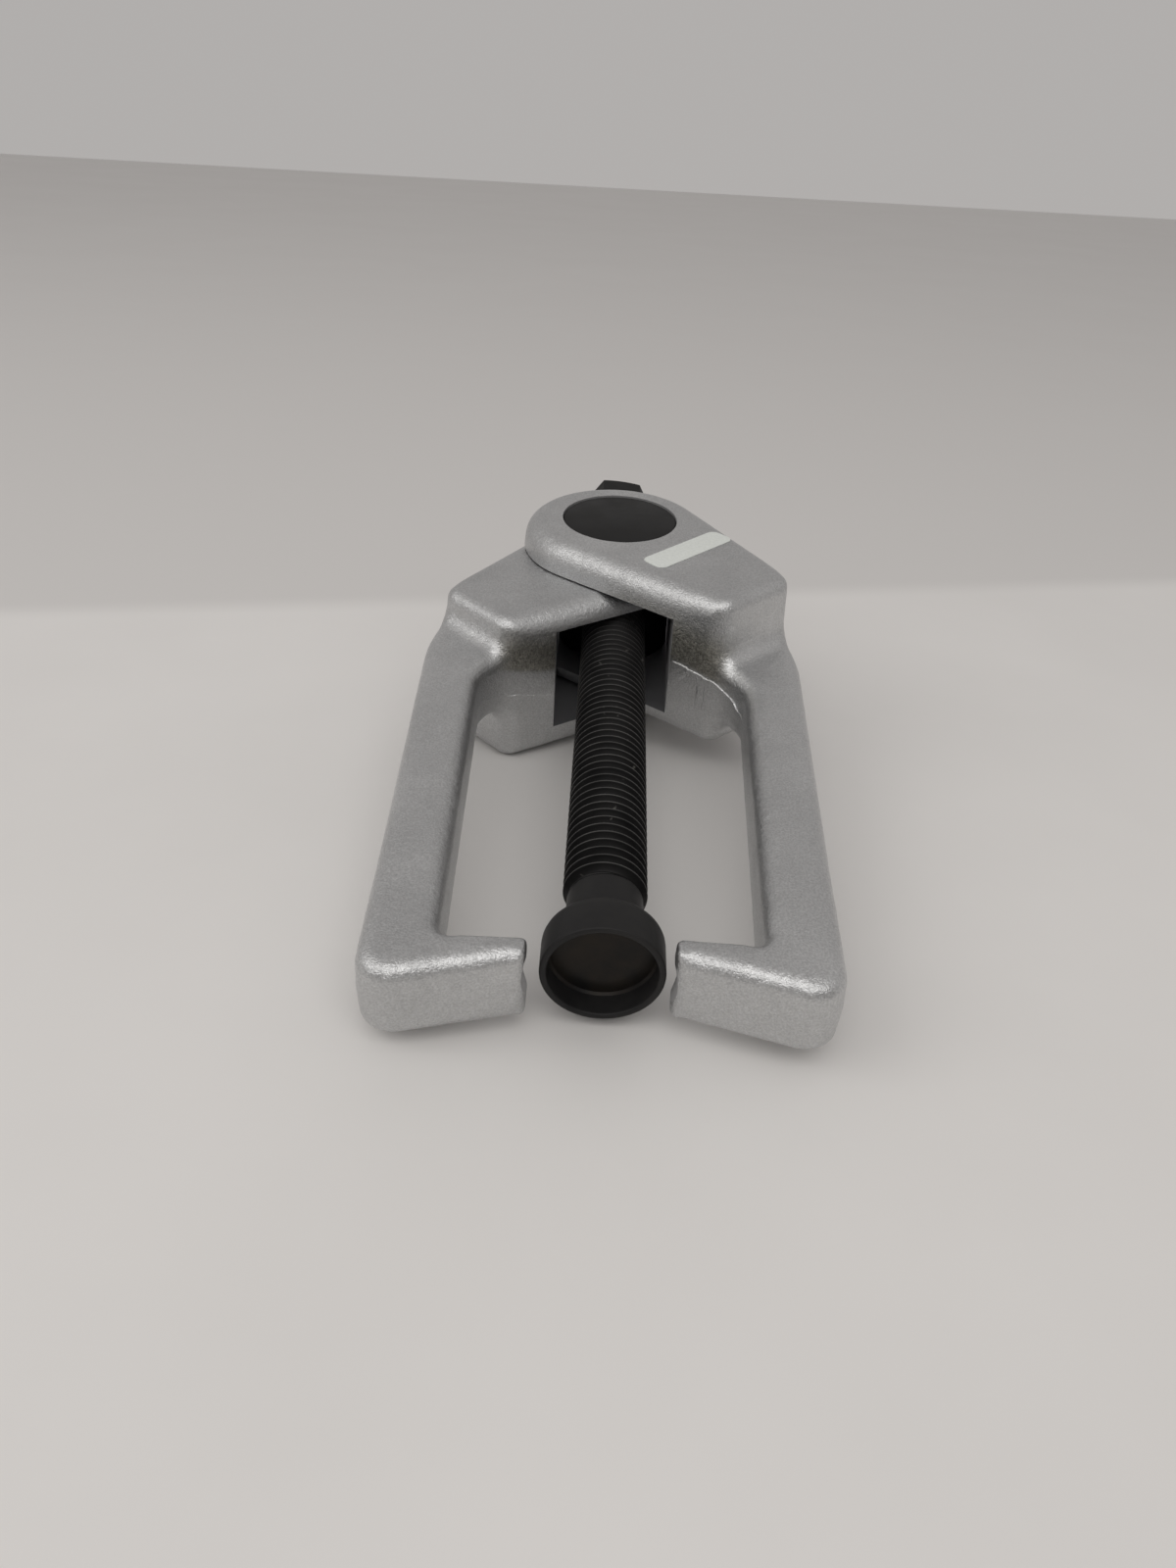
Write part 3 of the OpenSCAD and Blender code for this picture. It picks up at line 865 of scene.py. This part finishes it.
# ---------------------------------------------------------------- swivel cup
def make_cup():
    """Turned cup: rounded shoulder, thin lip, flat floor with a spherical dish."""
    ball = (DISH_R ** 2 + DISH_DEPTH ** 2) / (2 * DISH_DEPTH)
    dish = [(ball * math.sin(t), CUP_FLOOR - ball + DISH_DEPTH + ball * math.cos(t))
            for t in np.linspace(0, math.asin(DISH_R / ball), 10)]
    inner = [(CUP_BORE_R - 0.45, CUP_FLOOR), (CUP_BORE_R, CUP_FLOOR - 0.45), (CUP_BORE_R, CUP_MOUTH)]
    outer = [(CUP_R, CUP_MOUTH), (CUP_R, CUP_BACK - 0.3)]
    shoulder = [(CUP_R - CUP_SHOULDER_R * (1 - math.cos(t)), CUP_BACK - CUP_SHOULDER_R * (1 - math.sin(t)))
                for t in np.linspace(0.0, math.pi / 2, 8)]
    neck = [(NECK_R + 0.6, CUP_BACK), (NECK_R, CUP_BACK + 0.6), (NECK_R, NECK_BACK),
            (SOCKET_R, NECK_BACK)]
    socket = [(SOCKET_R, GROOVE_BACK), (SOCKET_GROOVE_R, GROOVE_BACK), (SOCKET_GROOVE_R, GROOVE_FRONT),
              (SOCKET_R, GROOVE_FRONT), (SOCKET_R, STEM_TIP - 0.3), (0.0, STEM_TIP - 0.3)]
    lip = rounded([inner[1], inner[2], outer[0], (CUP_R, CUP_MOUTH + 3)], 0.5)
    back = rounded([shoulder[-1], neck[0], neck[1], neck[2], neck[3], socket[0]], 0.4)
    outline = dish + [inner[0]] + lip[0:-1] + shoulder + back[1:] + socket[1:]
    verts, faces = revolve(outline, 128)
    piece = new_object("turned_cup", mesh_from("turned_cup", verts, faces, AT_PIN))
    finish_mesh(piece.data, 30.0)
    piece.data.materials.append(black_oxide("cup_black_oxide", 0.024, (0.42, 0.58)))
    piece.data.materials.append(black_oxide("cup_mouth_oxide", 0.016, (0.3, 0.42), brown=0.7))
    for poly in piece.data.polygons:
        c = poly.center / MM
        if math.hypot(c.x, c.z) < CUP_BORE_R - 0.05 and c.y - PIN_AXIS_Y < CUP_FLOOR + 1.2:
            poly.material_index = 1
    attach(piece, "cup")
    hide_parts("swivel_cup")


# ---------------------------------------------------------------- trunnion pin
def make_pin():
    """Pin with turned ends and small chamfers, bored across for the screw."""
    half = PIN_H / 2
    profile = [(0, -half), (PIN_R - 1.0, -half), (PIN_R - 0.3, -half + 0.12), (PIN_R, -half + 0.6),
               (PIN_R, half - 0.6), (PIN_R - 0.3, half - 0.12), (PIN_R - 1.0, half), (0, half)]
    verts, faces = revolve(profile, 144)
    verts = [(x, -z, y) for x, y, z in verts]
    piece = new_object("turned_pin", mesh_from("turned_pin", verts, faces, Matrix()))
    finish_mesh(piece.data, 30.0)
    cut(piece, *lengthwise(PIN_BORE_R, -30, 30, (0, 0), 96))
    piece.data.transform(AT_PIN)
    finish_mesh(piece.data, 30.0)
    piece.data.materials.append(black_oxide("pin_black_oxide", 0.010, (0.4, 0.52)))
    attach(piece, "pin")
    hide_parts("trunnion_pin")


# ---------------------------------------------------------------- blank label
def make_label():
    """Thin paper label with rounded corners, lying on the lug's upper face."""
    outline = []
    for cx, cy, start in ((1, 1, 0), (-1, 1, 90), (-1, -1, 180), (1, -1, 270)):
        for i in range(7):
            a = math.radians(start + 15 * i)
            outline.append((cx * (LABEL_L / 2 - LABEL_CORNER) + LABEL_CORNER * math.cos(a),
                            cy * (LABEL_W / 2 - LABEL_CORNER) + LABEL_CORNER * math.sin(a)))
    n = len(outline)
    verts = [(x, y, -0.02) for x, y in outline] + [(x, y, LABEL_T - 0.03) for x, y in outline]
    verts += [(x * 0.985, y * 0.96, LABEL_T) for x, y in outline]
    faces = [tuple(range(n))[::-1], tuple(range(2 * n, 3 * n))]
    for base in (0, n):
        faces += [(base + i, base + (i + 1) % n, base + n + (i + 1) % n, base + n + i) for i in range(n)]
    turn = Matrix.Rotation(-math.radians(SWING["right_jaw"]) - LUG_LEAN, 4, "Z")
    spot = Matrix.Translation((LABEL_REACH * MM, LABEL_SHIFT * MM, HUB_TOP * MM))
    skew = Matrix.Rotation(LABEL_SKEW, 4, "Z")
    piece = new_object("paper_label", mesh_from("paper_label", verts, faces, AT_PIN @ turn @ spot @ skew))
    finish_mesh(piece.data, 50.0)
    piece.data.materials.append(paper_label())
    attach(piece, "right_jaw")
    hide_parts("blank_label")


def dress_ring():
    """The hidden retaining ring keeps its CAD shape and gets a wire finish."""
    ring = frame["nodes"]["cup_retaining_ring"]
    wire = spring_wire()
    if not ring.data.materials:
        ring.data.materials.append(wire)
    for entry in ring.material_slots:
        entry.material = wire


# ---------------------------------------------------------------- floor, light and camera
MOST_ADVANCE = next(j["range_m"][1] for j in frame["record"]["behaviour"]["joints"]
                    if j["name"] == "screw_advance") / MM
HUB_TOUCH = -42.0         # where the hub's edge touches the floor
FLOOR_TILT = math.atan((HUB_TOP - CUP_R) / (CUP_MOUTH - MOST_ADVANCE - HUB_TOUCH))
FLOOR_CONTACT = Vector((0.0, (PIN_AXIS_Y + HUB_TOUCH) * MM, -(HUB_TOP + 0.1) * MM))

LAMP_TINT = (1.0, 0.985, 0.96)
ROOM = (0.44, 0.425, 0.415)
ROOM_LOW = (0.035, 0.034, 0.034)

CAMERA_AT = Vector((-4.29, PIN_AXIS_Y - 283.91, 145.32)) * MM
CAMERA_PITCH = math.radians(36.08)
CAMERA_ROLL = math.radians(3.21)
CAMERA_YAW = math.radians(-0.01)
CAMERA_LENS = 27.0


def make_floor():
    """A pale sheet under the tool, tilted as the tool lies: it touches the hub's edge, and the
    cup's lip once the screw is fully advanced."""
    mesh = bpy.data.meshes.new("floor")
    near, far, side = -0.8, 2.2, 2.0
    mesh.from_pydata([(-side, near, 0), (side, near, 0), (side, far, 0), (-side, far, 0)],
                     [], [(0, 1, 2, 3)])
    floor = new_object("floor", mesh)
    floor.location = FLOOR_CONTACT
    floor.rotation_euler = (FLOOR_TILT, 0, 0)
    floor.data.materials.append(pale_floor())


def area_light(name, place_at, size, power):
    """A warm rectangular lamp that faces the tool."""
    data = bpy.data.lights.new(name, "AREA")
    data.shape, data.size, data.size_y = "RECTANGLE", size[0], size[1]
    data.energy, data.color = power, LAMP_TINT
    obj = bpy.data.objects.new(name, data)
    bpy.context.scene.collection.objects.link(obj)
    obj.location = place_at
    obj.rotation_euler = (-Vector(place_at)).to_track_quat("-Z", "Y").to_euler()


def make_light():
    """A broad soft lamp above and in front, a weak one from the left, and a pale room that
    lights the tool less from low in front, where a person would stand."""
    area_light("overhead", (0.1, -0.75, 1.2), (1.3, 0.8), 5.3)
    area_light("left_fill", (-0.95, -0.33, 0.92), (0.9, 0.9), 3.2)
    world = bpy.data.worlds.new("room")
    world.use_nodes = True
    tree = world.node_tree
    apart = add(tree, "ShaderNodeSeparateXYZ")
    tree.links.new(add(tree, "ShaderNodeTexCoord").outputs["Generated"], apart.inputs[0])
    ahead = span(tree, apart.outputs["Y"], -0.15, -0.7)
    low = span(tree, apart.outputs["Z"], 0.55, 0.2)
    shade = mix(tree, 1.0, ahead, low, "MULTIPLY")
    tone = mix(tree, shade, ROOM, ROOM_LOW)
    seen = add(tree, "ShaderNodeLightPath").outputs["Is Camera Ray"]
    tree.links.new(mix(tree, seen, tone, ROOM), tree.nodes["Background"].inputs[0])
    bpy.context.scene.world = world


def make_camera():
    """The photograph's viewpoint, worked out from the screw, pin and jaw edges."""
    level = math.cos(CAMERA_PITCH)
    ahead = Vector((math.sin(CAMERA_YAW) * level, math.cos(CAMERA_YAW) * level, -math.sin(CAMERA_PITCH)))
    right = Vector((math.cos(CAMERA_YAW), -math.sin(CAMERA_YAW), 0))
    up = right.cross(ahead)
    across = right * math.cos(CAMERA_ROLL) + up * math.sin(CAMERA_ROLL)
    upward = -right * math.sin(CAMERA_ROLL) + up * math.cos(CAMERA_ROLL)
    data = bpy.data.cameras.new("camera")
    data.lens, data.sensor_width, data.sensor_fit = CAMERA_LENS, 36.0, "AUTO"
    data.clip_start, data.clip_end = 0.005, 20
    cam = bpy.data.objects.new("camera", data)
    bpy.context.scene.collection.objects.link(cam)
    turn = Matrix((across, upward, -ahead)).transposed().to_4x4()
    cam.matrix_world = Matrix.Translation(CAMERA_AT) @ turn
    bpy.context.scene.camera = cam


make_jaws()
make_screw()
make_cup()
make_pin()
make_label()
dress_ring()
make_floor()
make_light()
make_camera()
bpy.context.scene.view_settings.view_transform = "Standard"
